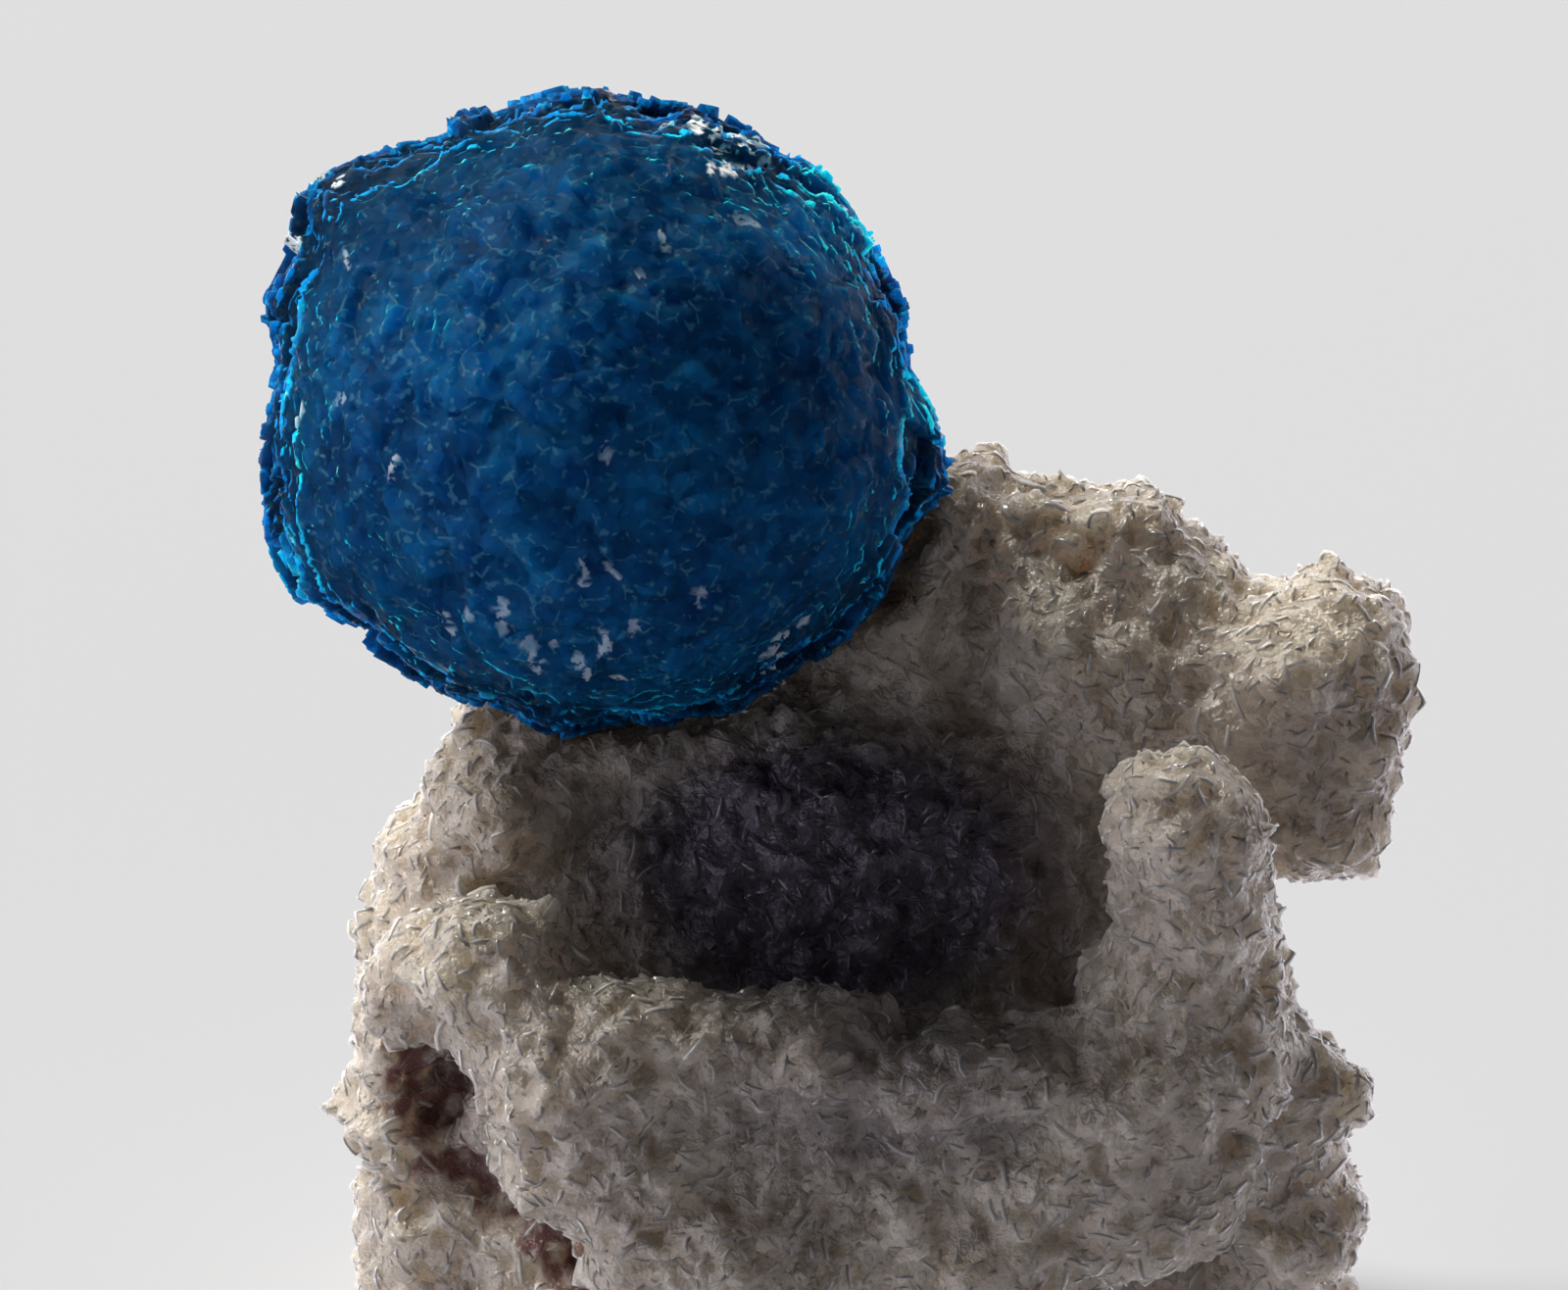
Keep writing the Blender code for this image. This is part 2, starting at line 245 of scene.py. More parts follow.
def cavansite_material():
    mat = bpy.data.materials.new("cavansite")
    n = Nodes(mat)
    blue = n.ramp(n.noise(1.6), (0.3, (0.003, 0.045, 0.15)), (0.7, (0.004, 0.10, 0.26)))
    shade = n.ramp(n.attribute("tone"), (0.0, (0.85, 0.85, 0.85)), (1.0, (1.15, 1.15, 1.15)))
    blue = n.mix(1.0, blue, shade, "MULTIPLY")
    ends = n.ramp(n.cells(0.4)["Color"], (0.2, (0.78, 0.78, 0.78)), (0.8, (1.22, 1.22, 1.22)))
    blue = n.mix(1.0, blue, ends, "MULTIPLY")
    edges = n.ramp(n.cells(0.5, "DISTANCE_TO_EDGE")["Distance"], (0.0, (1, 1, 1)), (0.07, (0, 0, 0)))
    patches = n.ramp(n.noise(0.35, 2.0), (0.54, (0, 0, 0)), (0.6, (0.7, 0.7, 0.7)))
    blue = n.mix(n.mix(1.0, edges, patches, "MULTIPLY"), blue, (0.06, 0.22, 0.34))
    specks = n.ramp(n.noise(0.25, 1.0), (0.64, (0, 0, 0)), (0.72, (0.7, 0.7, 0.7)))
    blue = n.mix(specks, blue, (0.05, 0.19, 0.31))
    # The "depth" values are painted light and shade: lighter where the ball faces the camera, darker at the rim and
    # top
    depth = n.ramp(n.attribute("depth"), (0.0, (0.0, 0.0, 0.0)), (1.0, (1.6, 1.6, 1.6)))
    blue = n.mix(1.0, blue, depth, "MULTIPLY")
    # The "pale" values paint reflections as silvery faces and glints as white ones
    painted_glint_colour = n.ramp(n.attribute("pale"), (0.6, (0.52, 0.66, 0.78)), (1.0, (0.95, 0.97, 1.0)))
    broken = n.ramp(n.noise(0.16, 1.0), (0.36, (0, 0, 0)), (0.46, (1, 1, 1)))
    blue = n.mix(n.mix(1.0, broken, n.attribute("pale"), "MULTIPLY"), blue, painted_glint_colour)
    n.link(blue, n.bsdf.inputs["Base Color"])
    gloss = n.ramp(n.attribute("tone"), (0.86, (0.55, 0.55, 0.55)), (0.92, (0.14, 0.14, 0.14)))
    n.link(gloss, n.bsdf.inputs["Roughness"])
    n.bsdf.inputs["IOR"].default_value = 1.55
    n.bsdf.inputs["Specular IOR Level"].default_value = 0.02
    deep = n.ramp(n.attribute("pale"), (0.0, (1, 1, 1)), (1.0, (0.1, 0.1, 0.1)))
    n.link(deep, n.bsdf.inputs["Subsurface Weight"])
    n.bsdf.inputs["Subsurface Radius"].default_value = (0.12, 0.75, 1.0)
    n.bsdf.inputs["Subsurface Scale"].default_value = 3.5 * MM
    n.bump(n.facets(0.4), 0.3)
    return mat


def stilbite_colours(n, light, dark, stain):
    """Cream to grey from place to place, painted shade in the pocket under the ball and on the ledge before it, and
    reddish brown down in the cleft.
    """
    cream = n.ramp(n.noise(3.0), (0.35, dark), (0.65, light))
    # Painted shade: darker bluish grey in the pocket under the ball and on the ledge before it
    cream = n.mix(n.attribute("murk"), cream, (0.13, 0.11, 0.145))
    return n.mix(n.attribute("pit"), cream, stain)


def crystal_relief(n):
    """Height of small facets and grains, finer than the mesh can hold."""
    return n.mix(0.35, n.facets(0.3), n.noise(0.16, 2.0))


def tablet_material():
    mat = bpy.data.materials.new("stilbite_tablets")
    n = Nodes(mat)
    colour = stilbite_colours(n, (0.77, 0.70, 0.58), (0.66, 0.58, 0.47), (0.28, 0.17, 0.135))
    shade = n.ramp(n.each_piece(), (0.0, (0.78, 0.77, 0.76)), (1.0, (1.0, 1.0, 1.0)))
    colour = n.mix(1.0, colour, shade, "MULTIPLY")
    # Painted highlight and shade: the thin rims a little lighter and the broad faces a little darker
    rim = n.ramp(n.attribute("rim"), (0.0, (0.9, 0.9, 0.9)), (1.0, (1.1, 1.1, 1.1)))
    colour = n.mix(1.0, colour, rim, "MULTIPLY")
    n.link(colour, n.bsdf.inputs["Base Color"])
    n.bsdf.inputs["Roughness"].default_value = 0.2
    n.bsdf.inputs["IOR"].default_value = 1.5
    n.bsdf.inputs["Subsurface Weight"].default_value = 0.7
    n.bsdf.inputs["Subsurface Radius"].default_value = (1.0, 0.9, 0.75)
    n.bsdf.inputs["Subsurface Scale"].default_value = 1.5 * MM
    return mat


def core_material():
    mat = bpy.data.materials.new("stilbite_core")
    n = Nodes(mat)
    colour = stilbite_colours(n, (0.76, 0.68, 0.56), (0.58, 0.505, 0.425), (0.28, 0.15, 0.135))
    grains = n.ramp(n.cells(0.3)["Color"], (0.2, (0.8, 0.8, 0.8)), (0.8, (1.08, 1.08, 1.08)))
    colour = n.mix(1.0, colour, grains, "MULTIPLY")
    n.link(colour, n.bsdf.inputs["Base Color"])
    n.bsdf.inputs["Roughness"].default_value = 0.3
    n.bsdf.inputs["IOR"].default_value = 1.5
    n.bsdf.inputs["Subsurface Weight"].default_value = 0.6
    n.bsdf.inputs["Subsurface Radius"].default_value = (1.0, 0.88, 0.7)
    n.bsdf.inputs["Subsurface Scale"].default_value = 2.4 * MM
    n.bump(crystal_relief(n), 0.45)
    return mat


def plain_material(name, colour, roughness):
    mat = bpy.data.materials.new(name)
    n = Nodes(mat)
    speckle = n.ramp(n.noise(60.0), (0.0, tuple(c * 0.985 for c in colour)), (1.0, colour))
    n.link(speckle, n.bsdf.inputs["Base Color"])
    n.bsdf.inputs["Roughness"].default_value = roughness
    return mat


def add_object(name, verts, faces, material, smooth=True, **values):
    """An object from arrays in millimetres, with named values for its points."""
    mesh = bpy.data.meshes.new(name)
    mesh.from_pydata((np.asarray(verts) * MM).tolist(), [], np.asarray(faces).tolist())
    mesh.materials.append(material)
    mesh.shade_smooth() if smooth else mesh.shade_flat()
    for key, value in values.items():
        mesh.attributes.new(key, "FLOAT", "POINT").data.foreach_set("value", np.asarray(value, np.float32))
    obj = bpy.data.objects.new(name, mesh)
    bpy.context.scene.collection.objects.link(obj)
    return obj


def normalized(vectors):
    return vectors / np.linalg.norm(vectors, axis=-1, keepdims=True)


def even_directions(count):
    i = np.arange(count)
    z = 1 - (2 * i + 1) / count
    turn = i * math.pi * (3 - math.sqrt(5))
    ring = np.sqrt(1 - z * z)
    return np.stack([ring * np.cos(turn), ring * np.sin(turn), z], axis=1)


def reach_finder(node):
    """A function that gives how far the solid's skin is from the rosette's centre in a direction."""
    mesh = node.data
    tree = BVHTree.FromPolygons([vert.co for vert in mesh.vertices], [face.vertices for face in mesh.polygons])
    centre = Vector(ROSETTE_CENTRE) * MM

    def reach(way):
        hit = tree.ray_cast(centre, Vector(way))[0]
        return (hit - centre).length / MM

    return reach


def nearest_cells(ways, seeds, count):
    """For each direction, the indices of the nearest seeds."""
    tree = KDTree(len(seeds))
    for i, seed in enumerate(seeds):
        tree.insert(seed, i)
    tree.balance()
    return np.array([[found[1] for found in tree.find_n(way, count)] for way in ways.tolist()])


def blade_cells(rng, count, width, thickness, guide=None):
    """Blade ends spread over a ball: direction, width and thickness vectors scaled to reach 1 at their edge."""
    ways = normalized(even_directions(count) + rng.normal(0, 0.6 / math.sqrt(count), (count, 3)))
    if guide is None:
        across = rng.normal(0, 1, (count, 3))
    else:
        seeds, lines = guide
        across = lines[nearest_cells(ways, seeds, 1)[:, 0]] + rng.normal(0, BLADE_TWIST, (count, 3))
    across = normalized(across - (across * ways).sum(1, keepdims=True) * ways)
    through = np.cross(ways, across)
    low, high = width
    wide = ROSETTE_RADIUS / ((low + (high - low) * rng.uniform(0, 1, count) ** 2) / 2)
    low, high = thickness
    thick = ROSETTE_RADIUS / ((low + (high - low) * rng.uniform(0, 1, count) ** 2) / 2)
    return ways, across, across * wide[:, None], through * thick[:, None]


def held_by(ways, cells, choices):
    """The blade end that holds each direction, with the place across and through it."""
    seeds, _, wide, thick = cells
    near = nearest_cells(ways, seeds, choices)
    u = np.einsum("ij,ikj->ik", ways, wide[near])
    v = np.einsum("ij,ikj->ik", ways, thick[near])
    apart = np.maximum(abs(u), abs(v)) + 0.3 * (u * u + v * v)
    best = apart.argmin(1)
    row = np.arange(len(ways))
    return near[row, best], u[row, best], v[row, best]


def camera_parts(ways):
    """How far each direction goes to the camera's right, up in its view and towards it."""
    tilt = math.radians(VIEW_TILT)
    up = ways[:, 1] * math.sin(tilt) + ways[:, 2] * math.cos(tilt)
    toward = ways[:, 2] * math.sin(tilt) - ways[:, 1] * math.cos(tilt)
    return ways[:, 0], up, toward


def eased(seeds, values):
    """A function that gives the values' average near each direction."""
    tree = KDTree(len(seeds))
    for i, seed in enumerate(seeds):
        tree.insert(seed, i)
    tree.balance()

    def average(ways):
        near = [tree.find_n(way, 14) for way in ways.tolist()]
        index = np.array([[found[1] for found in row] for row in near])
        apart = np.array([[found[2] for found in row] for row in near])
        weight = np.maximum(1 - (apart / apart[:, -1:]) ** 2, 0)
        return (values[index] * weight).sum(1) / weight.sum(1)

    return average


def painted_glint_blades(rng, blades):
    """Which blades end in a pale, silvery face as a painted reflection, or in a white painted glint: a few at
    random, and those near the given places.
    """
    ways, _, wide, thick = blades
    pale = PAINTED_REFLECTION * (rng.uniform(0, 1, len(ways)) < PAINTED_REFLECTION_SHARE)
    upward = np.array([0, math.sin(math.radians(VIEW_TILT)), math.cos(math.radians(VIEW_TILT))])
    across, up, toward = camera_parts(ways)
    broad = np.linalg.norm(wide, axis=1) < 2 * ROSETTE_RADIUS / 0.8
    for x, y in PAINTED_REFLECTION_PLACES:
        apart = np.hypot(across - x, up - y) + 2 * (toward < 0) + 0.1 * broad
        k = apart.argmin()
        pale[k] = PAINTED_REFLECTION
        along = normalized(upward - upward @ ways[k] * ways[k])
        wide[k] = along * 2 * ROSETTE_RADIUS / PAINTED_REFLECTION_SIZE[0]
        thick[k] = np.cross(ways[k], along) * 2 * ROSETTE_RADIUS / PAINTED_REFLECTION_SIZE[1]
    for x, y in PAINTED_GLINT_PLACES:
        apart = np.hypot(across - x, up - y) + 2 * (toward < 0) + 0.1 * broad
        pale[np.argsort(apart)[:6]] = 1
    return pale


def painted_glow_and_shade(ways, normals):
    """Painted light and shade in the blue: lighter where the skin faces the front, darker near the rim and the top,
    and painted light in a few patches.
    """
    across, up, toward = camera_parts(ways)
    light = np.interp(toward, *PAINTED_LIGHT_BY_FACING) * np.clip(0.35 + 0.8 * camera_parts(normals)[2], 0.35, 1)
    light *= 1 - 0.2 * np.maximum(up, 0)
    for (x, y), reach, gain in PAINTED_GLOW_PLACES:
        light += 0.7 * gain * np.exp(-((across - x) ** 2 + (up - y) ** 2) / reach**2) * (toward > -0.3)
    return np.clip(light, 0.03, 1.6) / 1.6


def outline_reach(ways):
    """How far the ball's outline is from its centre as seen in the camera, and how near to it each direction is."""
    across, up, toward = camera_parts(ways)
    turn = np.degrees(np.arctan2(up, across)) % 360
    reach = np.interp(turn, np.arange(0, 361, 10), ROSETTE_OUTLINE + ROSETTE_OUTLINE[:1])
    return reach, abs(toward)


def ball_grid(count):
    """Directions and square faces of a cube whose sides are split and blown up to a ball."""
    bm = bmesh.new()
    bmesh.ops.create_cube(bm, size=2)
    bmesh.ops.subdivide_edges(bm, edges=bm.edges, cuts=count - 1, use_grid_fill=True)
    ways = np.array([vert.co for vert in bm.verts])
    faces = [[vert.index for vert in face.verts] for face in bm.faces]
    bm.free()
    return normalized(np.tan(ways * math.pi / 4)), faces


def rosette_ball(node, material):
    """The ball as one skin of blade ends: each stands a little above or below its neighbours."""
    rng = np.random.default_rng(11)
    reach = reach_finder(node)
    ways, faces = ball_grid(BALL_SPLITS)
    bundles = blade_cells(rng, BUNDLES, BUNDLE_WIDTH, BUNDLE_THICKNESS)
    rim_share = np.clip(1.15 - 2.4 * np.maximum(camera_parts(bundles[0])[2], 0), 0, 1)
    notch = RIM_NOTCH[1] * (rng.uniform(0, 1, BUNDLES) < RIM_NOTCH[0])
    ledge = rng.normal(0, BUNDLE_STEP, BUNDLES) * (0.1 + 0.9 * rim_share) - notch * rim_share
    blades = blade_cells(rng, BLADES, BLADE_WIDTH, BLADE_THICKNESS, guide=(bundles[0], bundles[1]))
    step = rng.normal(0, BLADE_STEP, BLADES)
    lean = rng.normal(0, BLADE_LEAN, (2, BLADES))
    roof = rng.uniform(*BLADE_ROOF, BLADES)
    tone = rng.uniform(0, 1, BLADES)
    pale = painted_glint_blades(rng, blades)

    def laid_out(ways):
        """For each direction its blade, and how far it is across and through it in millimetres."""
        blade, u, v = held_by(ways, blades, 10)
        wide = ROSETTE_RADIUS / np.linalg.norm(blades[2], axis=1)
        thick = ROSETTE_RADIUS / np.linalg.norm(blades[3], axis=1)
        return blade, u * wide[blade], v * thick[blade]

    blade, u, v = laid_out(ways)
    limit = BLADE_WIDTH[1] / 2
    u = np.clip(u, -limit, limit)
    skin = np.array([reach(way) for way in ways.tolist()])
    smooth = eased(bundles[0], np.array([reach(way) for way in bundles[0].tolist()]))
    skin = RELIEF * skin + (1 - RELIEF) * smooth(ways)
    bundle = held_by(ways, bundles, 6)[0]
    rim, apart = outline_reach(ways)
    skin += np.clip(1.25 - 2 * apart, 0, 1) * (rim - RIM_SINK - skin) + ledge[bundle]
    teeth = step[blade] * (1 + RIM_TEETH * rim_share[bundle])
    length = skin + teeth + lean[0][blade] * u + lean[1][blade] * v - roof[blade] * abs(v)
    skin = add_object("ball", ways * length[:, None], faces, material)
    thin = skin.modifiers.new("thin", "DECIMATE")
    thin.ratio = BALL_TRIANGLES / (2 * len(faces))
    mesh = evaluated_mesh(skin)
    bpy.data.objects.remove(skin)
    points = np.empty(len(mesh.vertices) * 3)
    mesh.vertices.foreach_get("co", points)
    points = points.reshape(-1, 3)
    blade, u, v = laid_out(normalized(points))
    mesh.attributes.new("tone", "FLOAT", "POINT").data.foreach_set("value", tone[blade].astype(np.float32))
    normals = vectors_of(mesh.vertices, "normal", len(points))
    # Painted light and shade, kept in the "depth" values
    depth = painted_glow_and_shade(normalized(points), normals)
    mesh.attributes.new("depth", "FLOAT", "POINT").data.foreach_set("value", depth.astype(np.float32))
    # The "pale" values mark painted reflections and painted glints
    mesh.attributes.new("pale", "FLOAT", "POINT").data.foreach_set("value", pale[blade].astype(np.float32))
    grain = np.column_stack([u, v, blade * 0.37]).astype(np.float32)
    mesh.attributes.new("grain", "FLOAT_VECTOR", "POINT").data.foreach_set("vector", grain.ravel())
    mesh.transform(Matrix.Translation(Vector(ROSETTE_CENTRE) * MM))
    obj = bpy.data.objects.new("cavansite_ball", mesh)
    bpy.context.scene.collection.objects.link(obj)
    return obj


def remeshed(node, voxel, rounds):
    """A copy of the solid's mesh in millimetres, made again from even small faces and eased."""
    mesh = node.data.copy()
    mesh.transform(Matrix.Scale(1 / MM, 4))
    obj = bpy.data.objects.new("copy", mesh)
    bpy.context.scene.collection.objects.link(obj)
    fuse = obj.modifiers.new("fuse", "REMESH")
    fuse.mode = "VOXEL"
    fuse.voxel_size = voxel
    ease = obj.modifiers.new("ease", "SMOOTH")
    ease.factor = 0.5
    ease.iterations = rounds
    mesh = evaluated_mesh(obj)
    bpy.data.objects.remove(obj)
    return mesh


def finished(name, mesh, material):
    """An object from a mesh in millimetres."""
    mesh.transform(Matrix.Scale(MM, 4))
    mesh.materials.clear()
    mesh.materials.append(material)
    mesh.shade_smooth()
    obj = bpy.data.objects.new(name, mesh)
    bpy.context.scene.collection.objects.link(obj)
    return obj


def evaluated_mesh(obj):
    graph = bpy.context.evaluated_depsgraph_get()
    return bpy.data.meshes.new_from_object(obj.evaluated_get(graph))


def near_cleft(points):
    """How deep in the cleft each point is, from 0 outside it to 1."""
    points = np.asarray(points)
    path = np.array(CLEFT)
    apart = points[:, None] - path[None]
    apart[..., 1] *= 0.5
    nearest = np.linalg.norm(apart, axis=2).min(axis=1)
    close = nearest < 2 * CLEFT_REACH
    nearest[close] += [0.5 * noise.noise(Vector(point) / 0.45) for point in points[close]]
    return np.clip(4 * (CLEFT_REACH - nearest) / CLEFT_REACH, 0, 1)


def murkiness(points):
    """How much painted shade each point gets: dark in the pocket under the ball, where its shadow falls, and greyer
    on the ledge before it.
    """
    dark = np.zeros(len(points))
    for middle, half, share in PAINTED_SHADE_PLACES:
        apart = np.linalg.norm((points - np.array(middle)) / half, axis=1)
        dark = np.maximum(dark, share * np.clip(2.2 * (1 - apart), 0, 1))
    return dark


def knobbly_body(node):
    """The solid without its coarse crystals, as a smooth knobbly mesh just under the crust."""
    mesh = remeshed(node, CORE_VOXEL, 12)
    bm = bmesh.new()
    bm.from_mesh(mesh)
    for vert in bm.verts:
        cells = noise.voronoi(vert.co / KNOB_SIZE)[0]
        vert.co += vert.normal * (KNOB_HEIGHT * (0.45 - cells[0]) - CORE_SINK)
        vert.co.z = max(vert.co.z, 0.0)
    bm.to_mesh(mesh)
    bm.free()
    return mesh


def vectors_of(values, key, count):
    """The named three-part values of a mesh's points or faces as rows."""
    rows = np.empty(count * 3)
    values.foreach_get(key, rows)
    return rows.reshape(-1, 3)


def tablet_faces():
    """The faces of one closed curved plate, and which of them are its thin rims."""
    last = TABLET_COLUMNS - 1
    feet, tops, back_feet, back_tops = (k * TABLET_COLUMNS for k in range(4))
    faces = []
    for i in range(last):
        faces.append((feet + i, feet + i + 1, tops + i + 1, tops + i))
        faces.append((back_feet + i + 1, back_feet + i, back_tops + i, back_tops + i + 1))
    rims = [(tops + i, tops + i + 1, back_tops + i + 1, back_tops + i) for i in range(last)]
    rims += [(feet + i + 1, feet + i, back_feet + i, back_feet + i + 1) for i in range(last)]
    rims.append((feet, tops, back_tops, back_feet))
    rims.append((tops + last, feet + last, back_feet + last, back_tops + last))
    return np.array(faces + rims), np.array([0.0] * len(faces) + [1.0] * len(rims))


def plate_shapes(rng, outward, size):
    """Axes, widths, rolls and crowns of thin plates that stand on a skin, each rolled about its axis."""
    count = len(outward)
    axis = normalized(outward + rng.normal(0, TABLET_LEAN, (count, 3)))
    across = normalized(np.cross(axis, rng.normal(0, 1, (count, 3))))
    width = size * rng.uniform(*TABLET_WIDTH, count)
    roll = rng.uniform(*TABLET_ROLL, count)
    bend = rng.uniform(0.4, 1.2, count)[:, None]
    crown = 1 - 0.35 * np.linspace(-1, 1, TABLET_COLUMNS) ** 2 * bend
    return axis, across, width, roll, crown


def plate_points(spots, size, shapes, thickness, height):
    """Corner points of the plates, this thick and high for their size."""
    axis, across, width, roll, crown = shapes
    through = np.cross(axis, across)
    turn = roll[:, None] * np.linspace(-0.5, 0.5, TABLET_COLUMNS)
    radius = (width / roll)[:, None]
    flat = radius * np.sin(turn)
    rise = radius * (np.cos(turn) - np.cos(roll / 2)[:, None])
    rows = []
    for side in (-0.5, 0.5):
        depth = side * thickness * size[:, None]
        x = flat + depth * np.sin(turn)
        y = rise + depth * np.cos(turn)
        for level in (-0.55 * size[:, None] + 0 * x, height * size[:, None] * crown):
            rows.append(
                spots[:, None]
                + across[:, None] * x[..., None]
                + through[:, None] * y[..., None]
                + axis[:, None] * level[..., None]
            )
    return np.concatenate(rows, axis=1)


def plate_faces(block, points):
    """One block of faces for each plate."""
    return (block[None] + points.shape[1] * np.arange(len(points))[:, None, None]).reshape(-1, 4)


def fused_crust(body, points, faces):
    """The body and its plates made into one skin of small faces."""
    inner = vectors_of(body.vertices, "co", len(body.vertices))
    corners = [list(face.vertices) for face in body.polygons]
    mesh = bpy.data.meshes.new("crust")
    verts = np.concatenate([inner, points.reshape(-1, 3)])
    mesh.from_pydata(verts.tolist(), [], corners + (faces + len(inner)).tolist())
    obj = bpy.data.objects.new("crust", mesh)
    bpy.context.scene.collection.objects.link(obj)
    fuse = obj.modifiers.new("fuse", "REMESH")
    fuse.mode = "VOXEL"
    fuse.voxel_size = CRUST_VOXEL
    ease = obj.modifiers.new("ease", "SMOOTH")
    ease.factor = 0.5
    ease.iterations = CRUST_ROUNDS
    fused = evaluated_mesh(obj)
    bpy.data.objects.remove(obj)
    count = sum(len(face.vertices) - 2 for face in fused.polygons)
    obj = bpy.data.objects.new("crust", fused)
    bpy.context.scene.collection.objects.link(obj)
    thin = obj.modifiers.new("thin", "DECIMATE")
    thin.ratio = min(1.0, CRUST_TRIANGLES / count)
    mesh = evaluated_mesh(obj)
    bpy.data.objects.remove(obj)
    return mesh


def crust_pieces(node, core_material, tablet_material):
    """The matrix as one fused skin, and the crisp plates that stand out of it in separate pieces."""
    rng = np.random.default_rng(5)
    body = knobbly_body(node)
    count = len(body.polygons)
    centres = vectors_of(body.polygons, "center", count)
    normals = vectors_of(body.polygons, "normal", count)
    areas = np.empty(count)
    body.polygons.foreach_get("area", areas)
    areas = areas * (centres[:, 2] > 0.25) * (near_cleft(centres) < 0.7)
    pick = rng.choice(count, TABLETS, p=areas / areas.sum())
    size = np.clip(rng.normal(*TABLET_LENGTH, TABLETS), 0.22, 0.8)
    spots = centres[pick] + rng.normal(0, 0.05, (TABLETS, 3)) + normals[pick] * TABLET_RISE
    shapes = plate_shapes(rng, normals[pick], size)
    for place in LARGE_PLATES:
        k = np.linalg.norm(spots[: TABLET_PIECES * PIECE_TABLETS] - np.array(place), axis=1).argmin()
        size[k] = LARGE_SIZE
        shapes[2][k] = 0.6 * LARGE_SIZE
        shapes[3][k] = 0.3
    pit = near_cleft(spots)
    # Painted shade for each plate
    murk = murkiness(spots)
    block, rim = tablet_faces()
    points = plate_points(spots, size, shapes, FUSED_THICKNESS, FUSED_HEIGHT)
    skin = fused_crust(body, points, plate_faces(block, points))
    places = vectors_of(skin.vertices, "co", len(skin.vertices))
    places[:, 2] = np.maximum(places[:, 2], 0)
    skin.vertices.foreach_set("co", places.ravel())
    # The cleft's stain and the painted shade for the fused skin
    for key, finder in (("pit", near_cleft), ("murk", murkiness)):
        values = finder(places).astype(np.float32)
        skin.attributes.new(key, "FLOAT", "POINT").data.foreach_set("value", values)
    made = [finished("stilbite_crust", skin, core_material)]
    points = plate_points(spots, size, shapes, TABLET_THICKNESS, TABLET_HEIGHT)
    points[..., 2] = np.maximum(points[..., 2], 0)
    for k in range(TABLET_PIECES):
        share = np.arange(k * PIECE_TABLETS, (k + 1) * PIECE_TABLETS)
        piece = add_object(
            f"stilbite_tablets_{k + 1}",
            points[share].reshape(-1, 3),
            plate_faces(block, points[share]),
            tablet_material,
            pit=np.repeat(pit[share], points.shape[1]),
            murk=np.repeat(murk[share], points.shape[1]),
        )
        rims = piece.data.attributes.new("rim", "FLOAT", "FACE")
        rims.data.foreach_set("value", np.tile(rim, len(share)).astype(np.float32))
        made.append(piece)
    return made


def add_camera():
    tilt = math.radians(VIEW_TILT)
    back = Vector((0, -math.cos(tilt), math.sin(tilt)))
    camera = bpy.data.cameras.new("camera")
    camera.sensor_width = 36
    camera.lens = 36 * VIEW_DISTANCE / VIEW_WIDTH
    camera.clip_start = 0.01
    camera.clip_end = 10
    obj = bpy.data.objects.new("camera", camera)
    obj.location = (Vector(VIEW_TARGET) + back * VIEW_DISTANCE) * MM
    obj.rotation_euler = (-back).to_track_quat("-Z", "Y").to_euler()
    bpy.context.scene.collection.objects.link(obj)
    bpy.context.scene.camera = obj


def add_sun(name, way, power, spread):
    way = Vector(way).normalized()
    light = bpy.data.lights.new(name, "SUN")
    light.energy = power
    light.angle = math.radians(spread)
    light.color = SUN_COLOUR
    obj = bpy.data.objects.new(name, light)
    obj.rotation_euler = (-way).to_track_quat("-Z", "Y").to_euler()
    obj.location = way
    bpy.context.scene.collection.objects.link(obj)


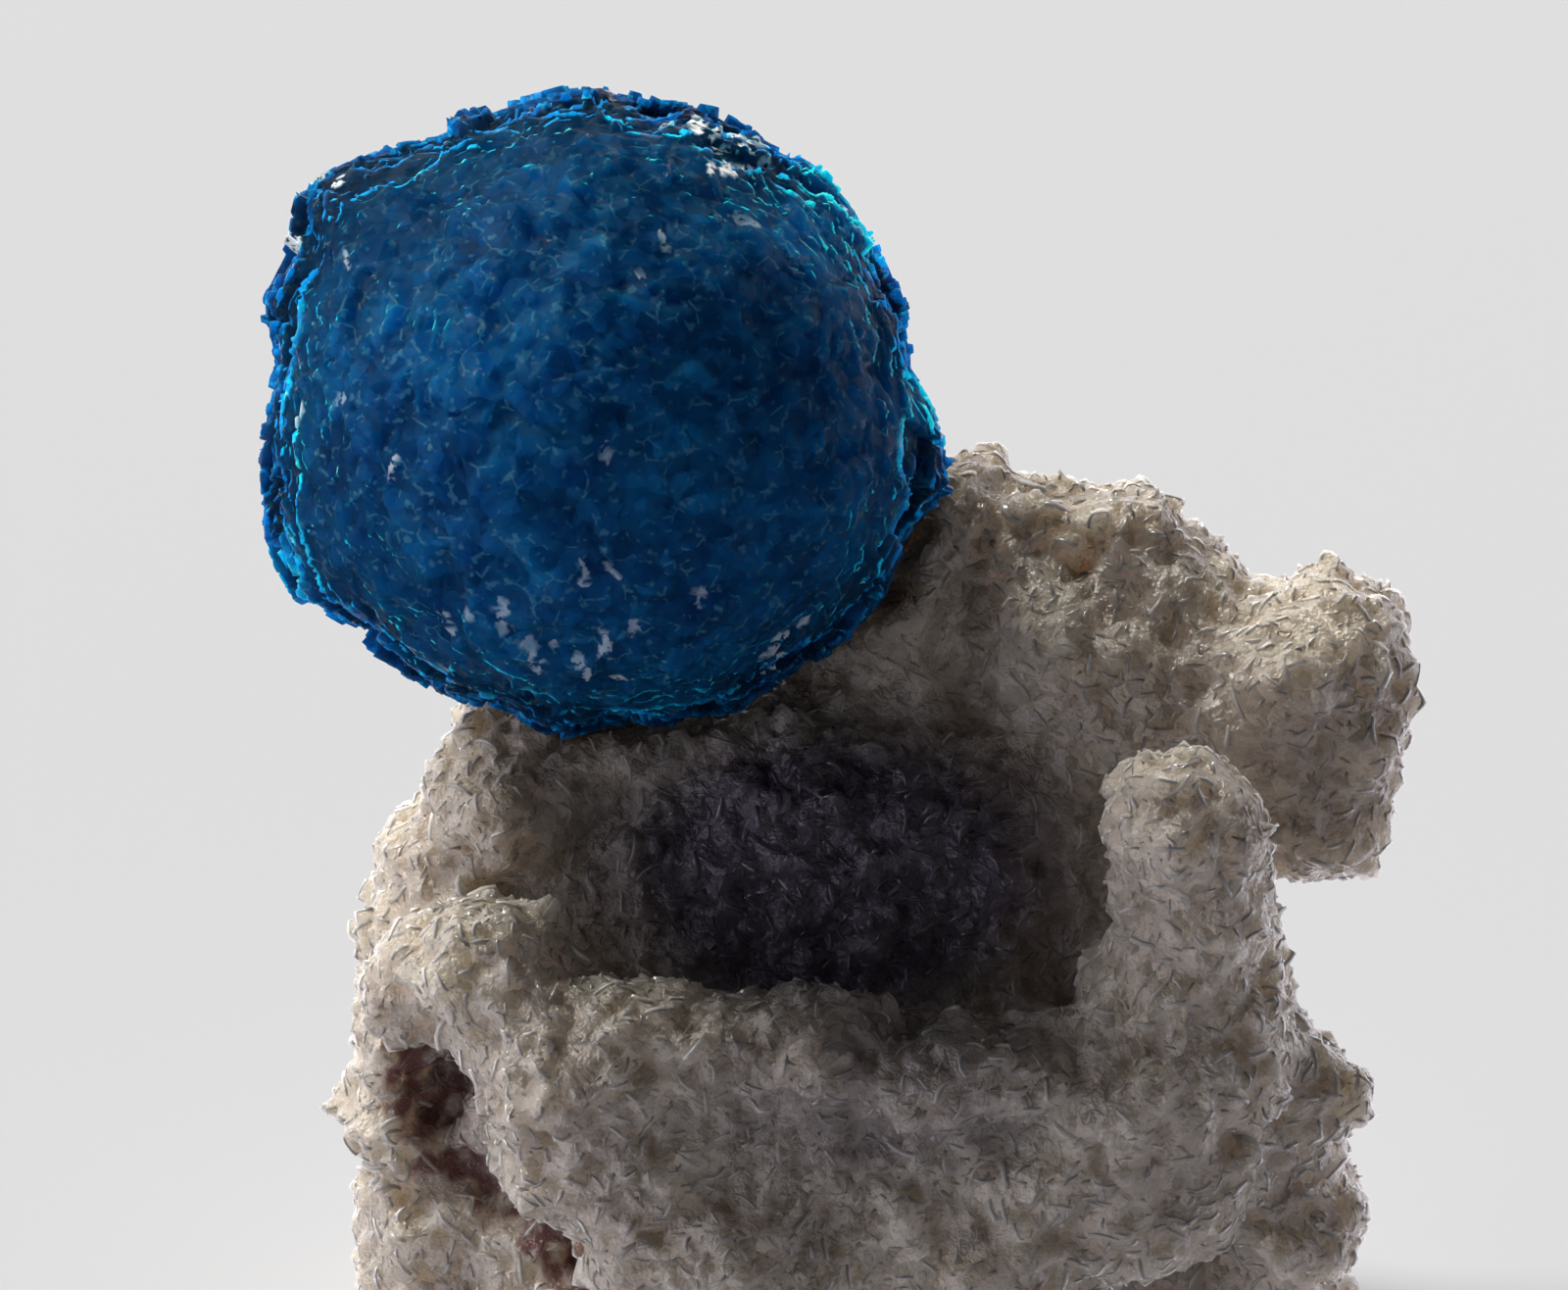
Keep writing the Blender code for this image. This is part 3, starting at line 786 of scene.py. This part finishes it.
def add_sky():
    """Soft light from behind the object and from low on the left, before an even pale background."""
    world = bpy.data.worlds.new("studio")
    world.use_nodes = True
    bpy.context.scene.world = world
    tree = world.node_tree
    nodes = tree.nodes
    links = tree.links
    back = nodes["Background"]
    place = nodes.new("ShaderNodeTexCoord")
    levels = []
    for way, start, end, bright in SKY_LOBES:
        toward = nodes.new("ShaderNodeVectorMath")
        toward.operation = "DOT_PRODUCT"
        toward.inputs[1].default_value = Vector(way).normalized()
        links.new(place.outputs["Generated"], toward.inputs[0])
        level = nodes.new("ShaderNodeMapRange")
        level.interpolation_type = "SMOOTHSTEP"
        level.inputs["From Min"].default_value = start
        level.inputs["From Max"].default_value = end
        level.inputs["To Max"].default_value = bright
        links.new(toward.outputs["Value"], level.inputs["Value"])
        total = nodes.new("ShaderNodeMath")
        total.inputs[1].default_value = SKY_DIM
        if levels:
            links.new(levels[-1], total.inputs[1])
        links.new(level.outputs[0], total.inputs[0])
        levels.append(total.outputs[0])
    back.inputs["Color"].default_value = (*SKY_COLOUR, 1)
    links.new(levels[-1], back.inputs["Strength"])
    plain = nodes.new("ShaderNodeBackground")
    plain.inputs["Color"].default_value = (BACKDROP, BACKDROP, BACKDROP * 1.01, 1)
    mix = nodes.new("ShaderNodeMixShader")
    path = nodes.new("ShaderNodeLightPath")
    links.new(path.outputs["Is Camera Ray"], mix.inputs["Fac"])
    links.new(back.outputs[0], mix.inputs[1])
    links.new(plain.outputs[0], mix.inputs[2])
    links.new(mix.outputs[0], nodes["World Output"].inputs["Surface"])


def add_floor():
    side = 2000.0
    verts = [(-side, -side, 0), (side, -side, 0), (side, side, 0), (-side, side, 0)]
    floor = add_object("floor", verts, [(0, 1, 2, 3)], plain_material("floor", (0.535, 0.555, 0.58), 0.9))
    floor.location.z = -0.02 * MM
    floor.visible_diffuse = False
    floor.visible_glossy = False
    floor.visible_shadow = False


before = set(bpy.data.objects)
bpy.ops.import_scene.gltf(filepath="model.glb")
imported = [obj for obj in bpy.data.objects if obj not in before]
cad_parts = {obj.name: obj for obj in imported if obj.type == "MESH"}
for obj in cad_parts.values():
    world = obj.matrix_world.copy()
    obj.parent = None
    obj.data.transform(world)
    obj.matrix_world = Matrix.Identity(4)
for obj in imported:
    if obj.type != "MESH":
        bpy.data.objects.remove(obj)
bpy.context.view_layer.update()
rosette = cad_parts["cavansite_rosette"]
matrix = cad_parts["stilbite_matrix"]

bpy.context.scene.view_settings.view_transform = "Standard"
add_camera()
add_sun("key", *KEY_LIGHT)
add_sun("side", *SIDE_LIGHT)
add_sky()
add_floor()

ball = rosette_ball(rosette, cavansite_material())
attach(ball, "root")
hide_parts("cavansite_rosette")

crust, *tablets = crust_pieces(matrix, core_material(), tablet_material())
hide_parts("stilbite_matrix")
for piece in (crust, *tablets):
    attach(piece, "root")
